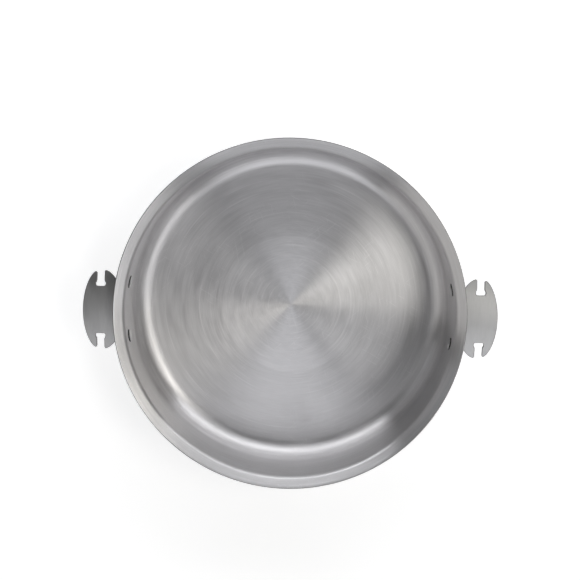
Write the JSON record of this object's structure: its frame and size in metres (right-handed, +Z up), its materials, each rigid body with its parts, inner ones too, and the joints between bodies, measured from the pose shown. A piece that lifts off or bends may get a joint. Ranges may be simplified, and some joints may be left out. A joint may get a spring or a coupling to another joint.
{
  "type": "saute pan",
  "caption": "Round stainless steel saute pan with upright wall, flared pouring lip, bonded base and a riveted oval bracket on each side for detachable handles.",
  "frame": {"origin": "centre of the underside of the base, on the pan's axis", "axes": "+Z up along the pan's axis towards the open rim, +X towards the right-hand bracket, +Y completes a right-handed frame and is up in the picture"},
  "size_m": [0.3528, 0.299, 0.0821],
  "materials": {
    "body_steel": "satin stainless steel brushed in circles about the pan's axis",
    "core_aluminium": "plain rolled disc, sealed inside the base",
    "base_steel": "magnetic stainless steel with fine turned rings",
    "bracket_steel": "satin pressed plate with softly rounded edges",
    "rivet_steel": "smooth, slightly polished heads"
  },
  "bodies": {
    "root": {"pan_body": "body_steel", "base_core": "core_aluminium", "base_cap": "base_steel", "left_bracket": "bracket_steel", "left_upper_rivet": "rivet_steel", "left_lower_rivet": "rivet_steel", "right_bracket": "bracket_steel", "right_upper_rivet": "rivet_steel", "right_lower_rivet": "rivet_steel"}
  },
  "joints": []
}
